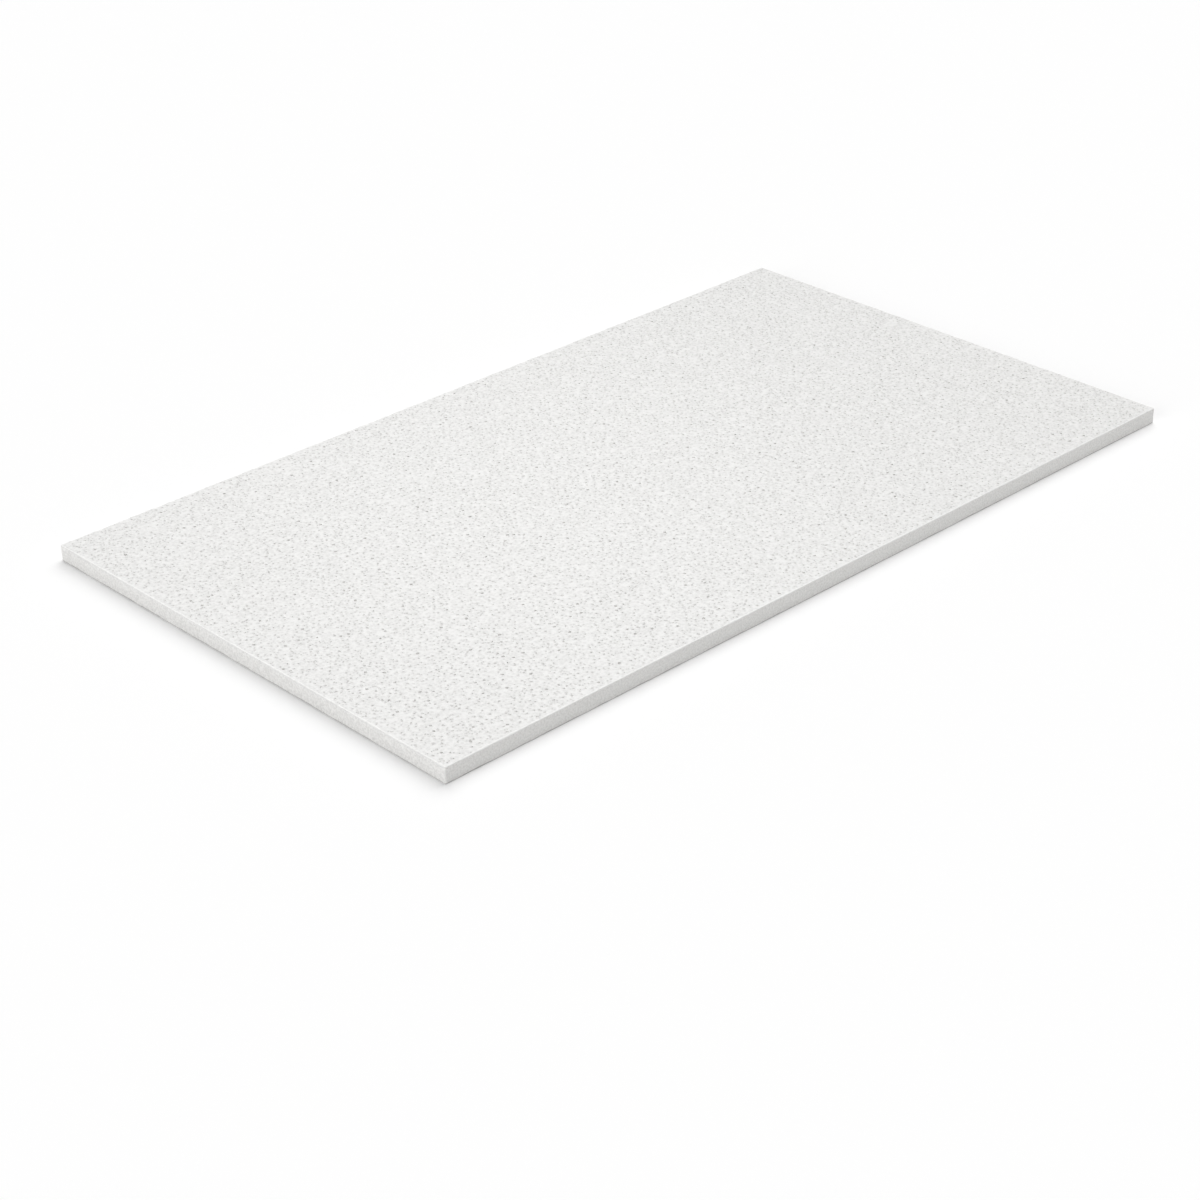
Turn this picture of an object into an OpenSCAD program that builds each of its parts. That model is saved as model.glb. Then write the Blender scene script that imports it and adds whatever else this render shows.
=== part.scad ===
// A square-edged gypsum sheet, one solid, lying flat on its back with the pinholed face up.
// The origin is the middle of the back. +X runs along the length, +Y across the width
// and +Z out of the face.

/* [Sheet] */
// Length, between the two cut ends
sheet_length = 1050; // [300:10:3000]
// Width, between the two long edges
sheet_width = 600; // [200:10:1250]
// Thickness, from the back to the face
sheet_thickness = 18; // [9:0.5:26]

/* [Edges] */
// Radius of the worn arris around the face
face_arris_radius = 1; // [0.25:0.25:1.25]
// Radius of the arris around the back
back_arris_radius = 0.5; // [0.25:0.25:1.25]
// Radius of the four corners, seen from above
corner_radius = 1.5; // [1.5:0.25:12]

/* [Hidden] */
// Fineness of the drawn arcs
$fn = 48;
// Near-white of the gypsum
gypsum_white = [0.93, 0.93, 0.92];
// The rim is the band as deep as the corner radius. Inside it the sheet is a plain slab.
slab_length = sheet_length - 2 * corner_radius;
slab_width = sheet_width - 2 * corner_radius;

// What an arris of this radius takes off a square corner that points to +X and +Y at the origin.
module arris_waste(radius) {
    difference() {
        translate([-radius, -radius]) square(radius);
        translate([-radius, -radius]) circle(radius);
    }
}

// Section across the rim: X is the distance out from the slab, Y the height above the back.
module rim_section() {
    difference() {
        square([corner_radius, sheet_thickness]);
        translate([corner_radius, sheet_thickness]) arris_waste(face_arris_radius);
        translate([corner_radius, 0]) mirror([0, 1]) arris_waste(back_arris_radius);
    }
}

// A straight length of rim that runs along Y, centred on the origin, with its outside facing +X.
module straight_rim(run) {
    rotate([90, 0, 0])
        linear_extrude(height = run, center = true)
            rim_section();
}

// The rim turned through a quarter circle, from +X round to +Y.
module corner_rim() {
    rotate_extrude(angle = 90) rim_section();
}

// The flat middle of the sheet, inside the rim.
module slab() {
    translate([-slab_length / 2, -slab_width / 2, 0])
        cube([slab_length, slab_width, sheet_thickness]);
}

// Half of the rim: one end, one long edge and the two corners of that edge.
module half_rim() {
    translate([slab_length / 2, 0, 0]) straight_rim(slab_width);
    translate([0, slab_width / 2, 0]) rotate([0, 0, 90]) straight_rim(slab_length);
    translate([slab_length / 2, slab_width / 2, 0]) corner_rim();
    translate([-slab_length / 2, slab_width / 2, 0]) rotate([0, 0, 90]) corner_rim();
}

module drywall_sheet() {
    color(gypsum_white)
        union() {
            slab();
            half_rim();
            rotate([0, 0, 180]) half_rim();
        }
}

drywall_sheet();
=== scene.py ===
# %% [markdown]
# # A drywall sheet, worked out on a grid
#
# The subject is one panel of thick gypsum board lying on its back. On the real thing a slurry of
# plaster and air is rolled flat, dried, cut square and painted white on the face, and the face is
# full of pinholes two or three millimetres across. Nothing else happens on it, so the whole look
# hangs on three things: the pinholes, the worn arris round them, and the chalky cut edges.
#
# The lesson builds the sheet as one closed skin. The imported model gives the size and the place.

# %% The frame
import math

import bpy
import numpy as np
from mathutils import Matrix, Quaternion, Vector


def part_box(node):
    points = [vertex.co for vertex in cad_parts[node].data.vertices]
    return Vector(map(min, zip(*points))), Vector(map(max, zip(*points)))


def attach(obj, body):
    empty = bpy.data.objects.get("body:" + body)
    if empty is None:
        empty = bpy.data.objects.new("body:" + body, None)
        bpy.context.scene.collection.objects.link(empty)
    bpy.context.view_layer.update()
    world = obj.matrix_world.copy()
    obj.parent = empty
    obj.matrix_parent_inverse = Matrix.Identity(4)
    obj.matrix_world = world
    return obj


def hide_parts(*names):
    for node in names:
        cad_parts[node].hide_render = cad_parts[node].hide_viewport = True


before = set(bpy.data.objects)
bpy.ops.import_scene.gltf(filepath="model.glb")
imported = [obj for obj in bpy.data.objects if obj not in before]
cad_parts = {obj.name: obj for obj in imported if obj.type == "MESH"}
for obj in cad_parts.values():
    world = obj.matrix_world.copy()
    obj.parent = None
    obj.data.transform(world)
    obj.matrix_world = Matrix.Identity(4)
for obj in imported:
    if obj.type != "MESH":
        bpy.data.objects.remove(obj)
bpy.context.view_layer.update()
low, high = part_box("drywall_sheet")
length = high.x - low.x
width = high.y - low.y
top = high.z
MM = 0.001
print(f"sheet {length / MM:.0f} x {width / MM:.0f} x {top / MM:.1f} mm")

# %% [markdown]
# ## The camera
#
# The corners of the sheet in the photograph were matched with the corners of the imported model,
# which gives one place and one turn for the camera. It looks down by 29 degrees, from the left of
# the near long edge. The photograph is very slightly tilted, so the camera is rolled by a degree.

# %% Camera
EYE = Vector((-1.8074, -1.8561, 1.2997))
LOOK_DOWN = math.radians(29.0)
LOOK_ASIDE = math.radians(43.453)
ROLL = math.radians(-0.93)
LENS = 80.905
SENSOR = 36.0

forward = Vector((
    math.sin(LOOK_ASIDE) * math.cos(LOOK_DOWN),
    math.cos(LOOK_ASIDE) * math.cos(LOOK_DOWN),
    -math.sin(LOOK_DOWN),
))
camera = bpy.data.objects.new("camera", bpy.data.cameras.new("camera"))
camera.data.sensor_width = SENSOR
camera.data.lens = LENS
camera.location = EYE
camera.rotation_mode = "QUATERNION"
camera.rotation_quaternion = forward.to_track_quat("-Z", "Y") @ Quaternion((0, 0, 1), ROLL)
bpy.context.scene.collection.objects.link(camera)
bpy.context.scene.camera = camera
print(f"camera {EYE.length:.2f} m from the middle of the back")

# %% [markdown]
# ## A smooth random field
#
# Wear, clusters of pinholes and the drift of a net all need numbers that are random but change
# gently from place to place. One function gives them for whole arrays of points at once. The seed
# picks the field, so the same script always makes the same sheet.

# %% Random field
KNOTS = 256


def drift(x, y, step, seed):
    """Smooth random field from -1 to 1 at the points (x, y).

    One random number sits at each knot of a square net with the given step. A point takes the
    mean of the four knots round it, each weighted by 3t^2 - 2t^3 of how near the point lies.
    """
    knots = np.random.default_rng(seed).uniform(-1.0, 1.0, (KNOTS, KNOTS))
    column = np.floor(x / step)
    row = np.floor(y / step)
    tx = x / step - column
    ty = y / step - row
    tx = tx * tx * (3 - 2 * tx)
    ty = ty * ty * (3 - 2 * ty)
    i = column.astype(int) % KNOTS
    j = row.astype(int) % KNOTS
    near = knots[i, j] * (1 - tx) + knots[(i + 1) % KNOTS, j] * tx
    far = knots[i, (j + 1) % KNOTS] * (1 - tx) + knots[(i + 1) % KNOTS, (j + 1) % KNOTS] * tx
    return near * (1 - ty) + far * ty


# %% [markdown]
# ## A net of half cells for the face
#
# Nearly nine thousand pinholes could be cut with Booleans, which would take hours, or scattered
# as separate cups, which would leave the face unbroken beneath them. Here the face is a net of
# cells about eight millimetres wide. Each cell is halved along one of its diagonals, drawn at
# random, and each half holds one pinhole, as part of its own mesh, or none. The net drifts and
# jitters, so its rows don't show. Along its border the knots only slide, so the net ends in a
# straight line, a few millimetres inside the edge of the sheet.

# %% Net
MARGIN = 3.5 * MM
CELL = 8.2 * MM
NET_DRIFT = 2.8 * MM
NET_DRIFT_STEP = 24 * MM
NET_DRIFT_SEEDS = (21, 22)
KNOT_JITTER = 1.1 * MM
JITTER_SEED = 11
DIAGONAL_SEED = 12
HOLD = 2.0

columns = round((length - 2 * MARGIN) / CELL)
rows = round((width - 2 * MARGIN) / CELL)


def net(u, v):
    """Knots of the net at u and v, from -0.5 to 0.5 along and across the face.

    Place = (u, v) times the size of the net, plus a smooth drift and a little jitter. Both fade
    to nothing over the last two cells, for x at the two ends and for y at the two long sides.
    """
    x = u * (length - 2 * MARGIN)
    y = v * (width - 2 * MARGIN)
    jitter = np.random.default_rng(JITTER_SEED).uniform(-KNOT_JITTER, KNOT_JITTER, (2, *u.shape))
    free_x = np.clip((0.5 - abs(u)) * columns / HOLD, 0, 1)
    free_y = np.clip((0.5 - abs(v)) * rows / HOLD, 0, 1)
    dx, dy = (NET_DRIFT * drift(x, y, NET_DRIFT_STEP, seed) for seed in NET_DRIFT_SEEDS)
    return x + free_x * (dx + jitter[0]), y + free_y * (dy + jitter[1])


grid_u, grid_v = np.meshgrid(np.linspace(-0.5, 0.5, columns + 1), np.linspace(-0.5, 0.5, rows + 1))
knots = np.stack(net(grid_u, grid_v), -1).reshape(-1, 2)
ids = np.arange(len(knots)).reshape(rows + 1, columns + 1)
low_left, low_right = ids[:-1, :-1].ravel(), ids[:-1, 1:].ravel()
high_left, high_right = ids[1:, :-1].ravel(), ids[1:, 1:].ravel()
rising = np.random.default_rng(DIAGONAL_SEED).random(len(low_left)) < 0.5
halves = np.concatenate([
    np.stack([low_left, low_right, np.where(rising, high_right, high_left)], -1),
    np.stack([high_right, high_left, np.where(rising, low_left, low_right)], -1),
])
corners = knots[halves]
print(f"net of {columns} x {rows} cells, {len(halves)} halves")

# %% [markdown]
# ## How much room each half has
#
# The circle that just fits inside a half says where a pinhole is safe and how large it may be.

# %% Room


def turned_area(points, triangles):
    """Area of each triangle seen from above, positive where it runs anticlockwise."""
    a, b, c = (points[:, triangles[:, corner], :2] for corner in range(3))
    return 0.5 * ((b - a)[..., 0] * (c - a)[..., 1] - (b - a)[..., 1] * (c - a)[..., 0])


across = np.linalg.norm(np.roll(corners, -1, 1) - np.roll(corners, 1, 1), axis=-1)
middles = (across[..., None] * corners).sum(1) / across.sum(1)[:, None]
room = 2 * turned_area(corners, np.array([[0, 1, 2]]))[:, 0] / across.sum(1)
least, typical, most = np.array([room.min(), np.median(room), room.max()]) / MM
print(f"room from {least:.2f} to {most:.2f} mm, mostly {typical:.2f} mm")

# %% [markdown]
# ## How the pinholes differ
#
# Real pinholes differ in size and depth, lie a little closer together in some places than in
# others, and a few are short dashes. Each half cell draws a lot. The two halves of a cell compete,
# because two bubbles side by side run together into one, and a faint, slow field is added, so that
# no two patches are alike. The sum puts all halves in order of strength, from 0 to 1. The weaker
# half of them stay flat, most of the rest get a cone, and the strongest get a steep hole with a
# floor of its own.

# %% Draws
DRAW_SEED = 5
CLUSTER_STEP = 30 * MM
CLUSTER_SEED = 31
CLUSTER_SHARE = 0.03
RIVALRY = 0.9
FLAT_BELOW = 0.52
BIG_ABOVE = 0.94
SMALL_RADIUS = 1.40 * MM
BIG_RADIUS = 1.75 * MM
RADIUS_POWER = 1.5
DEPTH_IN_RADII = (1.0, 1.8)
DASH_SHARE = 0.06
DASH_STRETCH = (2.0, 3.2)
PLAIN_STRETCH = 0.7
FILL = 0.80
RIM_ROOM = 0.15 * MM
ROOM_FOR_BIG = 1.9 * MM

draw = np.random.default_rng(DRAW_SEED)
count = len(halves)
lot = draw.random(count)
lot_of_partner = np.roll(lot, count // 2)
cluster = drift(middles[:, 0], middles[:, 1], CLUSTER_STEP, CLUSTER_SEED)
total = lot + RIVALRY * (lot - lot_of_partner) + CLUSTER_SHARE * cluster
strength = np.argsort(np.argsort(total)) / count
rank = np.clip((strength - FLAT_BELOW) / (1 - FLAT_BELOW), 0, 1)
dash = draw.random(count) < DASH_SHARE
dash_stretch = draw.uniform(*DASH_STRETCH, count)
plain_stretch = 1 + PLAIN_STRETCH * draw.random(count) ** 2
stretch = np.where(dash, dash_stretch, plain_stretch)
turn = draw.uniform(0, math.pi, count)
radius = SMALL_RADIUS + (BIG_RADIUS - SMALL_RADIUS) * rank ** RADIUS_POWER
radius = np.minimum(radius, FILL * room / np.sqrt(stretch))
depth = radius * draw.uniform(*DEPTH_IN_RADII, count)
spare = np.clip(room - RIM_ROOM - radius * np.sqrt(stretch), 0, None)
spare = spare * np.sqrt(draw.random(count))
heading = draw.uniform(0, 2 * math.pi, count)
places = middles + spare[:, None] * np.stack([np.cos(heading), np.sin(heading)], -1)
flat = strength < FLAT_BELOW
big = (rank > BIG_ABOVE) & (room > ROOM_FOR_BIG)
print(f"{flat.sum()} flat halves, {(~flat & ~big).sum()} small pinholes, {big.sum()} big ones")

# %% [markdown]
# ## Digging one kind of pinhole
#
# A pinhole is a few rings round a centre: the rim at the face, perhaps one ring down the wall, and
# a point at the bottom. All holes of a kind share one pattern of triangles, so the pattern is
# written once for local numbers 0, 1, 2 and so on, and one indexing step turns it into the
# triangles of thousands of half cells.

# %% Patterns
ROUGH_SEED = 41


def hole_pattern(per_corner, rings):
    """Triangles of half a cell with a hole, as local numbers: 0 to 2 are its corners.

    Each side of the rim is joined to the corner that it looks at, and where the corner changes
    from one side to the next, a triangle fills in along the side of the half cell.
    """
    spokes = 3 * per_corner
    k = np.arange(spokes)
    after = (k + 1) % spokes
    corner = (k + per_corner // 2) // per_corner % 3
    changes = corner != corner[after]
    found = [
        np.stack([3 + k, corner, 3 + after], -1),
        np.stack([3 + after, corner, corner[after]], -1)[changes],
    ]
    for ring in range(rings - 1):
        outer = 3 + ring * spokes
        inner = outer + spokes
        found.append(np.stack([outer + k, outer + after, inner + after], -1))
        found.append(np.stack([outer + k, inner + after, inner + k], -1))
    last = 3 + (rings - 1) * spokes
    bottom = np.full(spokes, last + spokes)
    found.append(np.stack([last + k, last + after, bottom], -1))
    return np.concatenate(found)


def rim_angles(which, centres, per_corner):
    """Directions from the centre of each hole to the points of its rim.

    One point looks straight at each corner, and the others divide the angle between two such
    points evenly.
    """
    towards = corners[which] - centres[which, None]
    at_corner = np.arctan2(towards[..., 1], towards[..., 0])
    between = (np.roll(at_corner, -1, 1) - at_corner) % (2 * math.pi)
    share = np.arange(per_corner) / per_corner
    return (at_corner[..., None] + share * between[..., None]).reshape(len(which), -1)


def hole_points(which, centres, per_corner, rough, profile):
    """Points of the holes in the half cells listed in which: an array of halves x points x 3.

    The rim is an ellipse: its radius at angle a is r / sqrt(cos^2(a - t) / s + s sin^2(a - t)),
    with mean radius r, stretch s and turn t, times 1 plus noise of the size rough. Each pair in
    the profile gives a ring's share of the rim's radius and of the depth. The bottom is one point.
    """
    angle = rim_angles(which, centres, per_corner)
    away = angle - turn[which, None]
    s = stretch[which, None]
    reach = radius[which, None] / np.sqrt(np.cos(away) ** 2 / s + s * np.sin(away) ** 2)
    noise = np.random.default_rng(ROUGH_SEED + per_corner).uniform(-1, 1, reach.shape)
    reach = reach * (1 + rough * noise)
    layers = []
    for share, down in profile:
        layers.append(np.stack([
            centres[which, 0, None] + share * reach * np.cos(angle),
            centres[which, 1, None] + share * reach * np.sin(angle),
            np.broadcast_to(top - down * depth[which, None], reach.shape),
        ], -1))
    bottom = np.stack([centres[which, 0], centres[which, 1], top - depth[which]], -1)
    return np.concatenate([*layers, bottom[:, None]], 1)


# %% [markdown]
# ## Keeping every hole inside its own half cell
#
# A hole that comes too close to the side of its half would fold the face over. The sign of a
# triangle's area shows that: seen from above, every triangle round a rim has to run the same way.
# A half that fails pulls its hole towards its middle, shrinks it a little and makes it a little
# rounder, for as many rounds as it takes.

# %% Settle the holes
PULL = 0.6
SHRINK = 0.95
ROUND_OFF = 0.8
SMALLEST_AREA = 0.02 * MM * MM
MOST_ROUNDS = 12


def dig(which, per_corner, rough, profile):
    """Holes for the half cells listed in which: (points, pattern), settled inside them."""
    pattern = hole_pattern(per_corner, len(profile))
    round_rim = pattern[(pattern < 3).any(1)]
    own_corners = np.concatenate([corners[which], np.full((len(which), 3, 1), top)], -1)
    centres = places.copy()
    for _ in range(MOST_ROUNDS):
        holes = hole_points(which, centres, per_corner, rough, profile)
        areas = turned_area(np.concatenate([own_corners, holes], 1), round_rim)
        folded = which[(areas < SMALLEST_AREA).any(1)]
        if len(folded) == 0:
            break
        centres[folded] = middles[folded] + PULL * (centres[folded] - middles[folded])
        radius[folded] *= SHRINK
        stretch[folded] = 1 + ROUND_OFF * (stretch[folded] - 1)
    print(f"{len(which)} holes with {3 * per_corner} sides, {len(folded)} still folded")
    return holes, pattern


# %% Dig both kinds
SMALL_PER_CORNER = 2
SMALL_ROUGH = 0.13
SMALL_PROFILE = [(1.0, 0.0)]
BIG_PER_CORNER = 4
BIG_ROUGH = 0.07
BIG_PROFILE = [(1.0, 0.0), (0.72, 0.72)]

small_halves = np.nonzero(~flat & ~big)[0]
big_halves = np.nonzero(big)[0]
small_holes, small_pattern = dig(small_halves, SMALL_PER_CORNER, SMALL_ROUGH, SMALL_PROFILE)
big_holes, big_pattern = dig(big_halves, BIG_PER_CORNER, BIG_ROUGH, BIG_PROFILE)

# %% [markdown]
# ## The rim of the sheet: a profile carried round
#
# Outside the net the sheet is a profile carried round its outline: over the arris of the face,
# down the cut edge, round the arris of the back and in to the middle. Board is handled roughly, so
# the arris isn't a perfect round. Its radius wavers along the way, and small knocks widen it here
# and there. The lower arris has been dragged over floors, so it is worn too, in some places by
# nearly a millimetre and in others hardly at all. The cut edge is a tenth of a millimetre rough.

# %% Outline
CORNER_RADIUS = 1.5 * MM
CORNER_STEPS = 6
STEPS_PER_CELL = 2
SUPPORT = 0.4 * MM
CORNER_SPARE = 0.1 * MM
ARRIS_MOST = 2.0 * MM


def side_run(border, outward):
    """Outline beside one row of border knots: point, outward direction, knot and widest arris.

    The points lie at the knots and halfway between them, moved out by the margin. A halfway point
    belongs to the knot before it.
    """
    at = np.arange(STEPS_PER_CELL * (len(border) - 1) + 1) / STEPS_PER_CELL
    whole = np.arange(len(border))
    points = np.stack([np.interp(at, whole, knots[border, axis]) for axis in (0, 1)], -1)
    points = points + MARGIN * np.array(outward)
    owner = border[np.floor(at).astype(int)]
    sideways = np.broadcast_to(np.array(outward, float), points.shape)
    return points, sideways, owner, np.full(len(points), ARRIS_MOST)


def corner_run(sign_x, sign_y, start_angle, knot):
    """Outline round one corner: a quarter circle from start_angle, all owned by one knot.

    An arris there is never so wide that it would reach the middle of the quarter circle.
    """
    angle = np.radians(start_angle + np.linspace(0, 90, CORNER_STEPS + 1))
    outward = np.stack([np.cos(angle), np.sin(angle)], -1)
    inner = np.array([length / 2 - CORNER_RADIUS, width / 2 - CORNER_RADIUS])
    centre = np.array([sign_x, sign_y]) * inner
    widest = np.full(len(angle), CORNER_RADIUS - SUPPORT - CORNER_SPARE)
    return centre + CORNER_RADIUS * outward, outward, np.full(len(angle), knot), widest


runs = [
    side_run(ids[0, :], (0, -1)),
    corner_run(1, -1, -90, ids[0, -1]),
    side_run(ids[:, -1], (1, 0)),
    corner_run(1, 1, 0, ids[-1, -1]),
    side_run(ids[-1, ::-1], (0, 1)),
    corner_run(-1, 1, 90, ids[-1, 0]),
    side_run(ids[::-1, 0], (-1, 0)),
    corner_run(-1, -1, 180, ids[0, 0]),
]
outline, outward, owner, widest_arris = (np.concatenate(kind) for kind in zip(*runs))
print(f"{len(outline)} points round the sheet")

# %% Profile
ARRIS = 1.0 * MM
ARRIS_LEAST = 0.6 * MM
BACK_ARRIS = 0.5 * MM
BACK_WEAR = 0.8 * MM
BACK_WEAR_SEED = 64
WAVER = 0.35
WAVER_STEP = 11 * MM
WAVER_SEED = 62
KNOCKS = 90
KNOCK_SEED = 61
KNOCK_HALF_LENGTH = (2.5, 6.0)
KNOCK_HEIGHT = (0.1, 0.8)
EDGE_ROWS = 3
EDGE_ROUGHNESS = 0.12 * MM
EDGE_ROUGHNESS_STEP = 5 * MM
EDGE_ROUGHNESS_SEED = 63
FACE_ANGLES = np.radians([0, 30, 60, 90])
BACK_ANGLES = np.radians([0, 45, 90])

step_length = np.linalg.norm(np.roll(outline, -1, 0) - outline, axis=1)
along = np.concatenate([[0.0], np.cumsum(step_length)[:-1]])


def worn_radius():
    """Radius of the face's arris at each point of the outline.

    It is the drawn radius, times 1 plus about a third of a smooth field, plus a bump of the form
    height times exp(-(distance / half length)^2) at each knock, both drawn in millimetres. It is
    kept between the least and the widest arris.
    """
    knocks = np.random.default_rng(KNOCK_SEED)
    places = knocks.uniform(0, along[-1], KNOCKS)
    halves = knocks.uniform(*KNOCK_HALF_LENGTH, KNOCKS) * MM
    heights = knocks.uniform(*KNOCK_HEIGHT, KNOCKS) * MM
    apart = (along[:, None] - places[None]) / halves[None]
    worn = ARRIS * (1 + WAVER * drift(along, 0 * along, WAVER_STEP, WAVER_SEED))
    return np.clip(worn + (heights * np.exp(-apart ** 2)).sum(1), ARRIS_LEAST, widest_arris)


def rim_profile():
    """Inset from the outline and height of every point of the rim: two arrays of rows x points.

    An arris is a quarter circle: inset r - r sin(a) and height top - r + r cos(a) as a runs from
    0 to 90 degrees, and the same upside down at the back, where r is the drawn radius plus the
    wear times a smooth field from 0 to 1, and no more than the widest arris. A row of support
    points lies just past each arris, so that the flats beside it shade flat.
    """
    worn = worn_radius()
    wear = 0.5 + 0.5 * drift(along, 0 * along, WAVER_STEP, BACK_WEAR_SEED)
    worn_below = np.minimum(BACK_ARRIS + BACK_WEAR * wear, widest_arris)
    inset = [worn + SUPPORT]
    height = [np.full(len(worn), top)]
    for angle in FACE_ANGLES:
        inset.append(worn * (1 - math.sin(angle)))
        height.append(top - worn * (1 - math.cos(angle)))
    for number in range(EDGE_ROWS):
        share = number / (EDGE_ROWS - 1)
        level = (1 - share) * (top - worn - SUPPORT) + share * (worn_below + SUPPORT)
        rough = 0.5 + 0.5 * drift(along, level, EDGE_ROUGHNESS_STEP, EDGE_ROUGHNESS_SEED)
        inset.append(EDGE_ROUGHNESS * rough)
        height.append(level)
    for angle in BACK_ANGLES:
        inset.append(worn_below * (1 - math.cos(angle)))
        height.append(worn_below * (1 - math.sin(angle)))
    inset.append(worn_below + SUPPORT)
    height.append(np.zeros(len(worn)))
    return np.array(inset), np.array(height)


inset, height = rim_profile()
rim_xy = outline[None] - inset[..., None] * outward[None]
rim_points = np.concatenate([rim_xy, height[..., None]], -1)
sharpest, bluntest = np.array([inset[1].min(), inset[1].max()]) / MM
print(f"rim of {len(rim_points)} rows, arris from {sharpest:.2f} to {bluntest:.2f} mm")

# %% [markdown]
# ## One closed skin
#
# Knots, holes and rim go into one list of points, and the patterns turn into triangles that use
# its numbers. Where the net meets the rim there are two outline points for each knot, so each
# outline side is joined to the knot that owns it. The back closes in one fan to its middle. The
# finish of the cut edge begins where the upper arris ends, and goes halfway round the lower one.

# %% Skin
net_points = np.concatenate([knots, np.full((len(knots), 1), top)], -1)


def numbered(which, holes, first):
    """Numbers in the list of points for the local numbers of each half: corners, then its hole."""
    own = first + np.arange(holes.shape[0] * holes.shape[1]).reshape(holes.shape[:2])
    return np.concatenate([halves[which], own], 1)


small_first = len(net_points)
big_first = small_first + small_holes.shape[0] * small_holes.shape[1]
rim_first = big_first + big_holes.shape[0] * big_holes.shape[1]
points = np.concatenate([
    net_points,
    small_holes.reshape(-1, 3),
    big_holes.reshape(-1, 3),
    rim_points.reshape(-1, 3),
    np.zeros((1, 3)),
])

small_numbers = numbered(small_halves, small_holes, small_first)
big_numbers = numbered(big_halves, big_holes, big_first)
face_triangles = np.concatenate([
    halves[flat],
    small_numbers[:, small_pattern].reshape(-1, 3),
    big_numbers[:, big_pattern].reshape(-1, 3),
])

rim_ids = rim_first + np.arange(inset.size).reshape(inset.shape)
rim_next = np.roll(rim_ids, -1, 1)
owner_next = np.roll(owner, -1)
joined = np.concatenate([
    np.stack([owner, rim_ids[0], rim_next[0]], -1),
    np.stack([owner, rim_next[0], owner_next], -1)[owner != owner_next],
])
bands = [
    np.concatenate([
        np.stack([rim_ids[row], rim_ids[row + 1], rim_next[row + 1]], -1),
        np.stack([rim_ids[row], rim_next[row + 1], rim_next[row]], -1),
    ])
    for row in range(len(rim_ids) - 1)
]
middle_of_back = np.full(len(outline), len(points) - 1)
fan = np.stack([rim_ids[-1], middle_of_back, rim_next[-1]], -1)

EDGE_FROM = len(FACE_ANGLES)
BACK_FROM = EDGE_FROM + EDGE_ROWS + len(BACK_ANGLES) - 1
FACE, EDGE, BACK = 0, 1, 2
starts_passed = np.searchsorted([EDGE_FROM, BACK_FROM], np.arange(len(bands)), side="right")
band_finish = np.array([FACE, EDGE, BACK])[starts_passed]
groups = [face_triangles, joined, *bands, fan]
finishes = [FACE, FACE, *band_finish, BACK]
triangles = np.concatenate(groups)
finish_of = np.repeat(finishes, [len(group) for group in groups])
print(f"{len(points)} points, {len(triangles)} triangles")

# %% [markdown]
# ## Into Blender
#
# The arrays go straight into a mesh. Four things are kept with it. The rim of each pinhole is a
# sharp edge, so that the face shades dead flat up to the brink. A number called hollow says how
# deep each point lies in its pinhole. Another marks the upper arris, which is painted whiter,
# partly as wear from hands and other sheets and partly as a painted highlight. The last marks the
# lower arris, which is painted darker, partly as floor dust and partly as a painted contact shadow
# along the foot. The finishes read these numbers.

# %% Mesh
HOLLOW_FULL = 1.6 * MM
# Rows of the upper arris that are painted whiter: partly wear, partly a painted highlight.
WEAR_AND_HIGHLIGHT_ROWS = [0.6, 0.9, 1.0, 1.0, 0.5]
# Rows of the lower arris that are painted darker: partly floor dust, partly a painted contact
# shadow.
DUST_AND_FOOT_SHADOW_ROWS = [0.4, 1.0, 1.0, 1.0]

hollow = np.zeros(len(points), np.float32)
dug = slice(small_first, rim_first)
hollow[dug] = np.clip((top - points[dug, 2]) / HOLLOW_FULL, 0, 1)
wear_and_highlight = np.zeros(len(points), np.float32)
wear_and_highlight[rim_ids[:len(WEAR_AND_HIGHLIGHT_ROWS)]] = np.array(WEAR_AND_HIGHLIGHT_ROWS)[:, None]
dust_and_foot_shadow = np.zeros(len(points), np.float32)
dust_and_foot_shadow[rim_ids[-len(DUST_AND_FOOT_SHADOW_ROWS):]] = np.array(DUST_AND_FOOT_SHADOW_ROWS)[:, None]
is_brink = np.zeros(len(points), bool)
for numbers, per_corner in ((small_numbers, SMALL_PER_CORNER), (big_numbers, BIG_PER_CORNER)):
    is_brink[numbers[:, 3:3 + 3 * per_corner]] = True

skin = bpy.data.meshes.new("gypsum_sheet")
skin.vertices.add(len(points))
skin.vertices.foreach_set("co", points.astype(np.float32).ravel())
skin.loops.add(triangles.size)
skin.loops.foreach_set("vertex_index", triangles.astype(np.int32).ravel())
skin.polygons.add(len(triangles))
skin.polygons.foreach_set("loop_start", np.arange(0, triangles.size, 3, dtype=np.int32))
skin.update(calc_edges=True)
for name, values in (("hollow", hollow), ("wear_and_highlight", wear_and_highlight), ("dust_and_foot_shadow", dust_and_foot_shadow)):
    skin.attributes.new(name, "FLOAT", "POINT").data.foreach_set("value", values)
edge_ends = np.zeros(2 * len(skin.edges), np.int32)
skin.edges.foreach_get("vertices", edge_ends)
brink = is_brink[edge_ends.reshape(-1, 2)].all(1)
skin.attributes.new("sharp_edge", "BOOLEAN", "EDGE").data.foreach_set("value", brink)
print(f"{brink.sum()} sharp edges, mesh needed mending: {skin.validate()}")

sheet = bpy.data.objects.new("gypsum_sheet", skin)
bpy.context.scene.collection.objects.link(sheet)

# %% [markdown]
# ## Shader maths that reads like maths
#
# A material is a small sum over textures. Drawing it node by node hides the sum, so a wire between
# two nodes is wrapped in a class that knows plus, minus and times. Everything else comes from one
# method that takes the kind of node, its settings and what goes into its sockets, and from a few
# short ones that are built on it.

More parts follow.
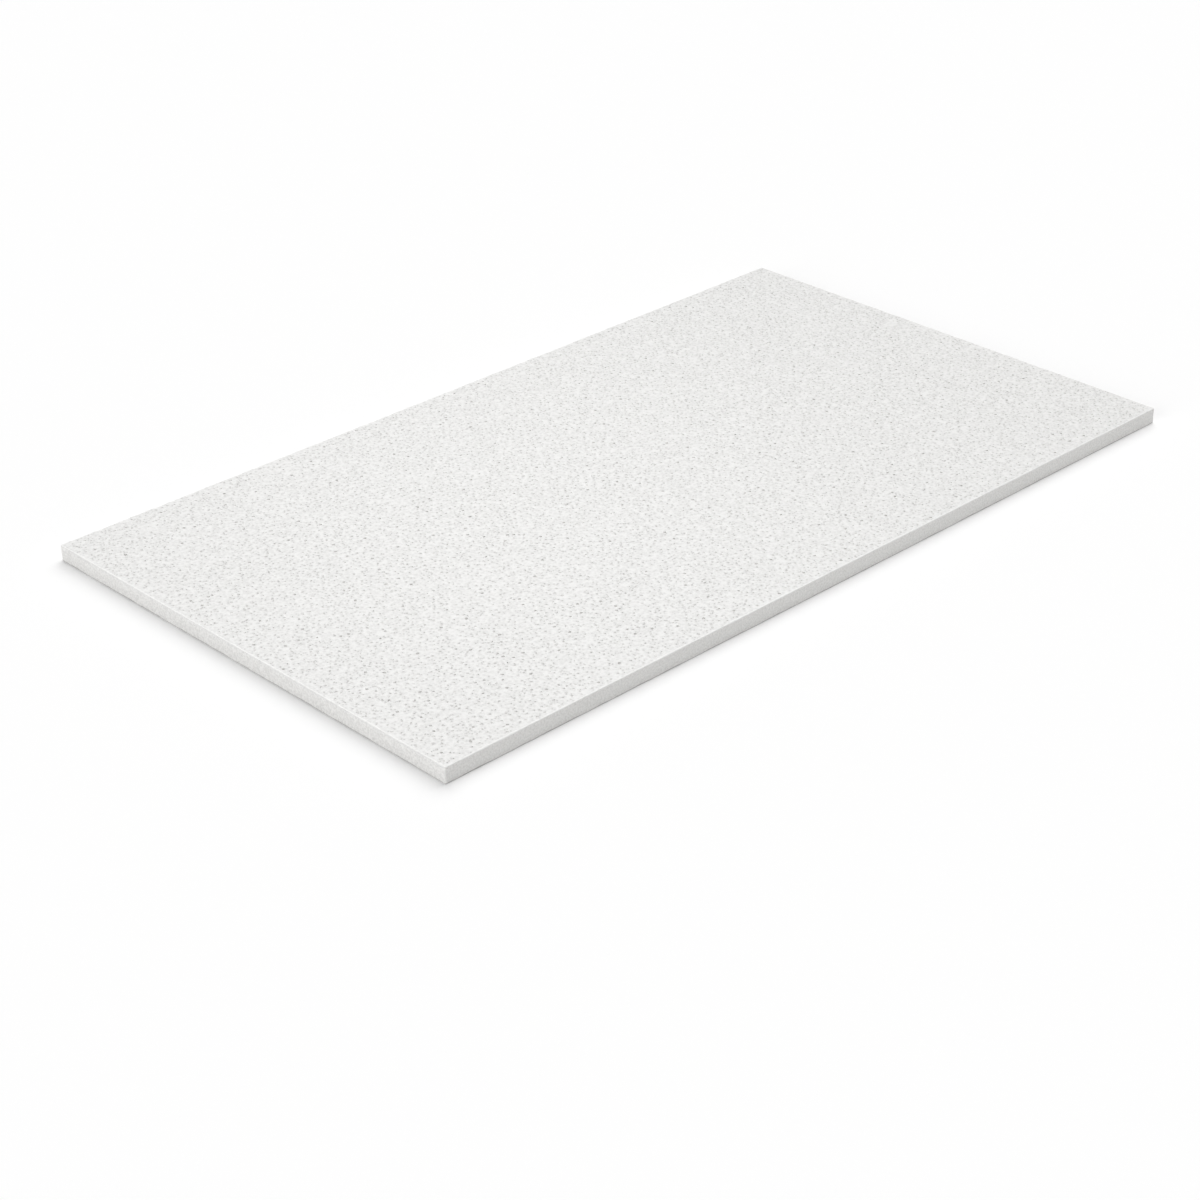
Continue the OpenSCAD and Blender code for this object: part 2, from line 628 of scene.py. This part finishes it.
# %% Wires
class Wire:
    """A value on its way between nodes. Each sum or product of wires adds a Math node."""

    def __init__(self, recipe, socket):
        self.recipe = recipe
        self.socket = socket

    def sum_with(self, operation, first, second):
        return self.recipe.node("ShaderNodeMath", {"operation": operation}, {0: first, 1: second})

    def __add__(self, other):
        return self.sum_with("ADD", self, other)

    def __radd__(self, other):
        return self.sum_with("ADD", other, self)

    def __sub__(self, other):
        return self.sum_with("SUBTRACT", self, other)

    def __rsub__(self, other):
        return self.sum_with("SUBTRACT", other, self)

    def __rmul__(self, other):
        return self.sum_with("MULTIPLY", other, self)

    def also(self, output):
        """Another output of the same node."""
        return Wire(self.recipe, self.socket.node.outputs[output])


# %% Recipes
BUMP_STRENGTH = 0.8


class Recipe:
    """A material or world under construction."""

    def __init__(self, owner):
        owner.use_nodes = True
        self.tree = owner.node_tree
        self.tree.nodes.clear()

    def node(self, kind, settings=None, sockets=None, output=0):
        """Adds a node, with its settings set first, and returns the wire out of it."""
        made = self.tree.nodes.new(kind)
        for name, value in (settings or {}).items():
            setattr(made, name, value)
        for name, value in (sockets or {}).items():
            if isinstance(value, Wire):
                self.tree.links.new(value.socket, made.inputs[name])
            else:
                made.inputs[name].default_value = value
        return Wire(self, made.outputs[output]) if len(made.outputs) else None

    def smooth(self, value, start, end):
        """0 below start, 1 above end, and smooth between them. start may be the larger."""
        return self.node(
            "ShaderNodeMapRange",
            {"interpolation_type": "SMOOTHSTEP"},
            {"Value": value, "From Min": start, "From Max": end},
        )

    def blend(self, share, first, second):
        """Colour that goes from first to second as share goes from 0 to 1."""
        return self.node(
            "ShaderNodeMix", {"data_type": "RGBA"}, {0: share, 6: first, 7: second}, output=2
        )

    def noise(self, place, size, detail=2.0, roughness=0.5):
        """Cloudy noise from 0 to 1 with blotches of about this size, in metres."""
        return self.node(
            "ShaderNodeTexNoise",
            {"noise_dimensions": "3D"},
            {"Vector": place, "Scale": 1.0 / size, "Detail": detail, "Roughness": roughness},
        )

    def grains(self, place, size):
        """Distance to the nearest of many grains, in grain sizes, and the lot of that grain."""
        distance = self.node(
            "ShaderNodeTexVoronoi", {"feature": "F1"}, {"Vector": place, "Scale": 1.0 / size}
        )
        lot = self.node("ShaderNodeSeparateColor", None, {0: distance.also("Color")})
        return distance, lot

    def kept(self, name):
        """The number of this name that is kept with the mesh."""
        return self.node("ShaderNodeAttribute", {"attribute_name": name}, output="Fac")

    def matt_surface(self, colour, roughness, relief, height):
        """Ends a material, with a bump as high as the relief times this height in metres."""
        bump = self.node("ShaderNodeBump", None, {
            "Strength": BUMP_STRENGTH,
            "Distance": height,
            "Height": relief,
        })
        surface = self.node("ShaderNodeBsdfPrincipled", None, {
            "Base Color": colour,
            "Roughness": roughness,
            "Normal": bump,
        })
        self.node("ShaderNodeOutputMaterial", None, {"Surface": surface})


def grey(level, warmth=0.0):
    """A near-white colour: warmth takes a little out of the blue."""
    return (level, level * (1 - 0.25 * warmth), level * (1 - warmth), 1.0)


# %% [markdown]
# ## The painted face
#
# The paint is a flat, very slightly warm white. Up close it has a sandy tooth, faint clouds where
# the roller laid it thicker, and specks of pores too small to be modelled, round which it has
# soaked in and is thinner. The specks are painted dark, as a painted shade for the inside of such
# small holes. The paint doesn't reach the bottom of the pinholes, where the grey of the plaster
# shows, and they are also darkened there as painted shade, so the colour follows the number called
# hollow. The upper arris is painted whiter, partly as wear and partly as a painted highlight. The
# sand and the pores go through a Bump node, whose distance is a real height.

# %% Face
PAINT = grey(0.843, 0.016)
PAINT_THIN = grey(0.742, 0.02)
# Grey at the bottom of the pinholes: partly bare plaster, partly painted shade in the holes.
PIT_GREY_AND_SHADE = grey(0.765, 0.03)
# Dark grey of the pore specks: painted shade inside holes too small to be modelled.
PORE_SHADE = grey(0.54, 0.03)
# White for the upper arris: partly wear, partly a painted highlight.
WEAR_AND_HIGHLIGHT_WHITE = grey(0.95, 0.016)
CLOUD_SIZE = 24 * MM
SAND_SIZE = 1.8 * MM
TOOTH_SIZE = 4.0 * MM
PORE_SPACING = 3.6 * MM
PORE_BRINK = (0.28, 0.15)
THIN_RANGE = (0.37, 0.63)
WEAR_AND_HIGHLIGHT_RANGE = (0.7, 1.5)
PIT_SHADE_RANGE = (0.0, 0.35)
PAINT_RELIEF = 0.35 * MM


def face_finish():
    """Flat white paint over pinholed plaster."""
    material = bpy.data.materials.new("painted_face")
    recipe = Recipe(material)
    place = recipe.node("ShaderNodeTexCoord", output="Object")
    clouds = recipe.noise(place, CLOUD_SIZE, detail=3.0)
    sand = recipe.noise(place, SAND_SIZE, detail=3.0, roughness=0.6)
    tooth = recipe.noise(place, TOOTH_SIZE)
    from_pore, pore_lot = recipe.grains(place, PORE_SPACING)
    pore = recipe.smooth(from_pore + 0.12 * pore_lot, *PORE_BRINK)
    near_pore = 1.0 - 0.9 * from_pore
    thin = recipe.smooth(0.1 * clouds + 0.4 * near_pore + 0.5 * sand, *THIN_RANGE)
    # The pore specks are painted dark as the shade inside tiny holes.
    speckled = recipe.blend(pore, recipe.blend(thin, PAINT, PAINT_THIN), PORE_SHADE)
    # The upper arris is painted whiter here: partly wear, partly a painted highlight.
    wear_and_highlight = recipe.smooth(recipe.kept("wear_and_highlight") + 0.8 * tooth, *WEAR_AND_HIGHLIGHT_RANGE)
    with_wear_and_highlight = recipe.blend(wear_and_highlight, speckled, WEAR_AND_HIGHLIGHT_WHITE)
    # Deeper points of the pinholes turn grey: partly bare plaster, partly painted shade.
    colour = recipe.blend(recipe.smooth(recipe.kept("hollow"), *PIT_SHADE_RANGE), with_wear_and_highlight, PIT_GREY_AND_SHADE)
    relief = 0.45 * sand + 0.55 * tooth - 0.8 * pore
    recipe.matt_surface(colour, 0.86 + 0.1 * sand, relief, PAINT_RELIEF)
    return material


# %% [markdown]
# ## The cut edges
#
# The saw leaves bare plaster. It is chalky and a little whiter than the paint, and it only looks
# greyer because less light falls on an upright face. It has a fine even grain, a few bubbles of
# the air that was stirred into it, painted as darker specks for the shade inside them, and very
# faint upright marks where the teeth came down. Noise that is stretched in height makes such marks
# on all four sides. Its top row is painted whiter, partly as wear and partly as a painted
# highlight, and the lower arris is painted darker, partly as floor dust and partly as a painted
# contact shadow along the foot.

# %% Edges
PLASTER = grey(0.96, 0.024)
PLASTER_DARK = grey(0.80, 0.03)
# Grey of the bubble specks: painted shade inside air holes too small to be modelled.
BUBBLE_SHADE = grey(0.60, 0.03)
# Grey for the lower arris: partly floor dust, partly a painted contact shadow along the foot.
DUST_AND_FOOT_SHADOW_GREY = grey(0.36, 0.05)
GRAIN_SIZE = 2.0 * MM
MARK_SIZE = 2.8 * MM
MARK_SQUEEZE = (1.0, 1.0, 0.4)
BUBBLE_SPACING = 2.6 * MM
BUBBLE_BRINK = (0.24, 0.12)
GRAIN_RANGE = (0.35, 0.65)
SAWN_RELIEF = 0.3 * MM


def edge_finish():
    """Sawn bare plaster."""
    material = bpy.data.materials.new("sawn_plaster")
    recipe = Recipe(material)
    place = recipe.node("ShaderNodeTexCoord", output="Object")
    upright = recipe.node("ShaderNodeMapping", None, {"Vector": place, "Scale": MARK_SQUEEZE})
    grain = recipe.noise(place, GRAIN_SIZE, detail=3.0, roughness=0.65)
    marks = recipe.noise(upright, MARK_SIZE)
    from_bubble, bubble_lot = recipe.grains(place, BUBBLE_SPACING)
    bubble = recipe.smooth(from_bubble + 0.22 * bubble_lot, *BUBBLE_BRINK)
    cut = 0.88 * grain + 0.12 * marks
    plaster = recipe.blend(recipe.smooth(cut, *GRAIN_RANGE), PLASTER, PLASTER_DARK)
    # The bubbles are painted darker as the shade inside small air holes.
    sawn = recipe.blend(0.5 * bubble, plaster, BUBBLE_SHADE)
    # The top row of the edge is painted whiter: partly wear, partly a painted highlight.
    with_wear_and_highlight = recipe.blend(recipe.kept("wear_and_highlight"), sawn, WEAR_AND_HIGHLIGHT_WHITE)
    # The lower arris is painted darker here: partly floor dust, partly a painted contact shadow.
    colour = recipe.blend(recipe.kept("dust_and_foot_shadow"), with_wear_and_highlight, DUST_AND_FOOT_SHADOW_GREY)
    recipe.matt_surface(colour, 0.88 + 0.1 * grain, cut - 0.8 * bubble, SAWN_RELIEF)
    return material


# %% [markdown]
# ## The back
#
# The back shows only from below, but somebody may turn the sheet over. It is plain plaster that
# took the texture of the belt it was cast on: a soft, even dimple and broad, faint clouds.

# %% Back
BACK_LIGHT = grey(0.82, 0.022)
BACK_DARK = grey(0.75, 0.028)
BACK_CLOUD_SIZE = 55 * MM
DIMPLE_SIZE = 2.6 * MM
BACK_SAND_SIZE = 0.9 * MM
BACK_RANGE = (0.38, 0.64)
BACK_RELIEF = 0.3 * MM


def back_finish():
    """Plain cast plaster."""
    material = bpy.data.materials.new("cast_back")
    recipe = Recipe(material)
    place = recipe.node("ShaderNodeTexCoord", output="Object")
    clouds = recipe.noise(place, BACK_CLOUD_SIZE, detail=4.0, roughness=0.55)
    dimple = recipe.noise(place, DIMPLE_SIZE)
    sand = recipe.noise(place, BACK_SAND_SIZE, roughness=0.6)
    shade = recipe.smooth(0.6 * clouds + 0.4 * dimple, *BACK_RANGE)
    colour = recipe.blend(shade, BACK_LIGHT, BACK_DARK)
    recipe.matt_surface(colour, 0.88 + 0.1 * sand, 0.6 * dimple + 0.4 * sand, BACK_RELIEF)
    return material


# %% Put the finishes on
for finish in (face_finish(), edge_finish(), back_finish()):
    skin.materials.append(finish)
skin.polygons.foreach_set("material_index", finish_of.astype(np.int32))
print("finishes:", [material.name for material in skin.materials])

# %% [markdown]
# ## Floor, sky and lamps
#
# The sheet lies on a white floor that runs out of sight. The floor ends just inside the foot of
# the sheet, so that light reaches the back, and a look from below shows it. The sky is even, and
# gives a third of the light. A wide, soft sun high on the right gives half, and throws a soft
# shadow to the left, along the foot of the end. A low one on the left adds a tenth, and makes the
# end brighter than the long edge. The level is such that the white floor just comes out white,
# with nothing on it but the shadows. A weak, long lamp hangs askew above the face, left of its
# middle, and is linked to the sheet alone. It lets the face fall off a little to the right.

# %% Floor
FLOOR_HALF = 30.0
FLOOR_TUCK = 1.5 * MM
FLOOR_WHITE = grey(0.96)
FLOOR_GLOW = 0.071


def seen_directly(recipe):
    """1 for rays from the camera, a mirror or a glass, and 0 for light on its way."""
    path = recipe.node("ShaderNodeLightPath", output="Is Camera Ray")
    return path + path.also("Is Glossy Ray") + path.also("Is Transmission Ray")


def floor_finish():
    """White with the sheet's shadow to the eye, and a pale matt floor to the light."""
    material = bpy.data.materials.new("floor_white")
    recipe = Recipe(material)
    paper = recipe.node("ShaderNodeBsdfDiffuse", None, {"Color": FLOOR_WHITE})
    glow = recipe.node("ShaderNodeEmission", None, {"Color": grey(1.0), "Strength": FLOOR_GLOW})
    seen = recipe.node("ShaderNodeAddShader", None, {0: paper, 1: glow})
    mixed = recipe.node("ShaderNodeMixShader", None, {0: seen_directly(recipe), 1: paper, 2: seen})
    recipe.node("ShaderNodeOutputMaterial", None, {"Surface": mixed})
    return material


signs = np.array([[-1, -1, 0], [1, -1, 0], [1, 1, 0], [-1, 1, 0]])
far_corners = FLOOR_HALF * signs
near_corners = signs * [length / 2 - FLOOR_TUCK, width / 2 - FLOOR_TUCK, 0]
floor_mesh = bpy.data.meshes.new("floor")
floor_mesh.from_pydata(
    np.concatenate([far_corners, near_corners]).tolist(),
    [],
    [(0, 1, 5, 4), (1, 2, 6, 5), (2, 3, 7, 6), (3, 0, 4, 7)],
)
floor_mesh.materials.append(floor_finish())
floor = bpy.data.objects.new("floor", floor_mesh)
bpy.context.scene.collection.objects.link(floor)
print(f"floor {2 * FLOOR_HALF:.0f} m wide, open from {FLOOR_TUCK / MM:.1f} mm inside the foot")

# %% Sky and lamps
SKY = 0.35
LEFT_SUN = 0.87
LEFT_SIDE = Vector((-0.93, -0.08, 0.36))
LEFT_WIDTH = math.radians(36.0)
RIGHT_SUN = 1.96
RIGHT_SIDE = Vector((0.52, 0.25, 0.82))
RIGHT_WIDTH = math.radians(64.0)
FILL_WATTS = 0.87
FILL_PLACE = Vector((-0.21, 0.0, 0.80))
FILL_BREADTH = 0.1
FILL_LENGTH = 0.8
FILL_TURN = math.radians(-44.0)

world = bpy.data.worlds.new("studio")
bpy.context.scene.world = world
sky = Recipe(world)
sky_light = sky.node("ShaderNodeBackground", None, {"Color": grey(1.0), "Strength": SKY})
sky_seen = sky.node("ShaderNodeBackground", None, {"Color": grey(1.0), "Strength": 1.0})
sky_mixed = sky.node(
    "ShaderNodeMixShader", None, {0: seen_directly(sky), 1: sky_light, 2: sky_seen}
)
sky.node("ShaderNodeOutputWorld", None, {"Surface": sky_mixed})


def new_lamp(name, kind, energy):
    """A lamp of this kind at the origin, shining straight down."""
    lamp = bpy.data.objects.new(name, bpy.data.lights.new(name, kind))
    lamp.data.energy = energy
    bpy.context.scene.collection.objects.link(lamp)
    return lamp


suns = (
    ("left_sun", LEFT_SUN, LEFT_SIDE, LEFT_WIDTH),
    ("right_sun", RIGHT_SUN, RIGHT_SIDE, RIGHT_WIDTH),
)
for name, strength, side, breadth in suns:
    sun = new_lamp(name, "SUN", strength)
    sun.data.angle = breadth
    sun.rotation_mode = "QUATERNION"
    sun.rotation_quaternion = (-side).to_track_quat("-Z", "Y")

fill = new_lamp("fill_lamp", "AREA", FILL_WATTS)
fill.data.shape = "RECTANGLE"
fill.data.size = FILL_BREADTH
fill.data.size_y = FILL_LENGTH
fill.location = FILL_PLACE
fill.rotation_euler.z = FILL_TURN
fill.visible_camera = False
lit_by_fill = bpy.data.collections.new("lit_by_fill")
lit_by_fill.objects.link(sheet)
fill.light_linking.receiver_collection = lit_by_fill
bpy.context.scene.view_settings.view_transform = "Standard"
print(f"sky, {len(suns)} suns and a lamp of {FILL_WATTS:.2f} W over the face")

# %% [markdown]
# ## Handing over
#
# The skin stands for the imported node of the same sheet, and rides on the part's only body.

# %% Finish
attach(sheet, "root")
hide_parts("drywall_sheet")
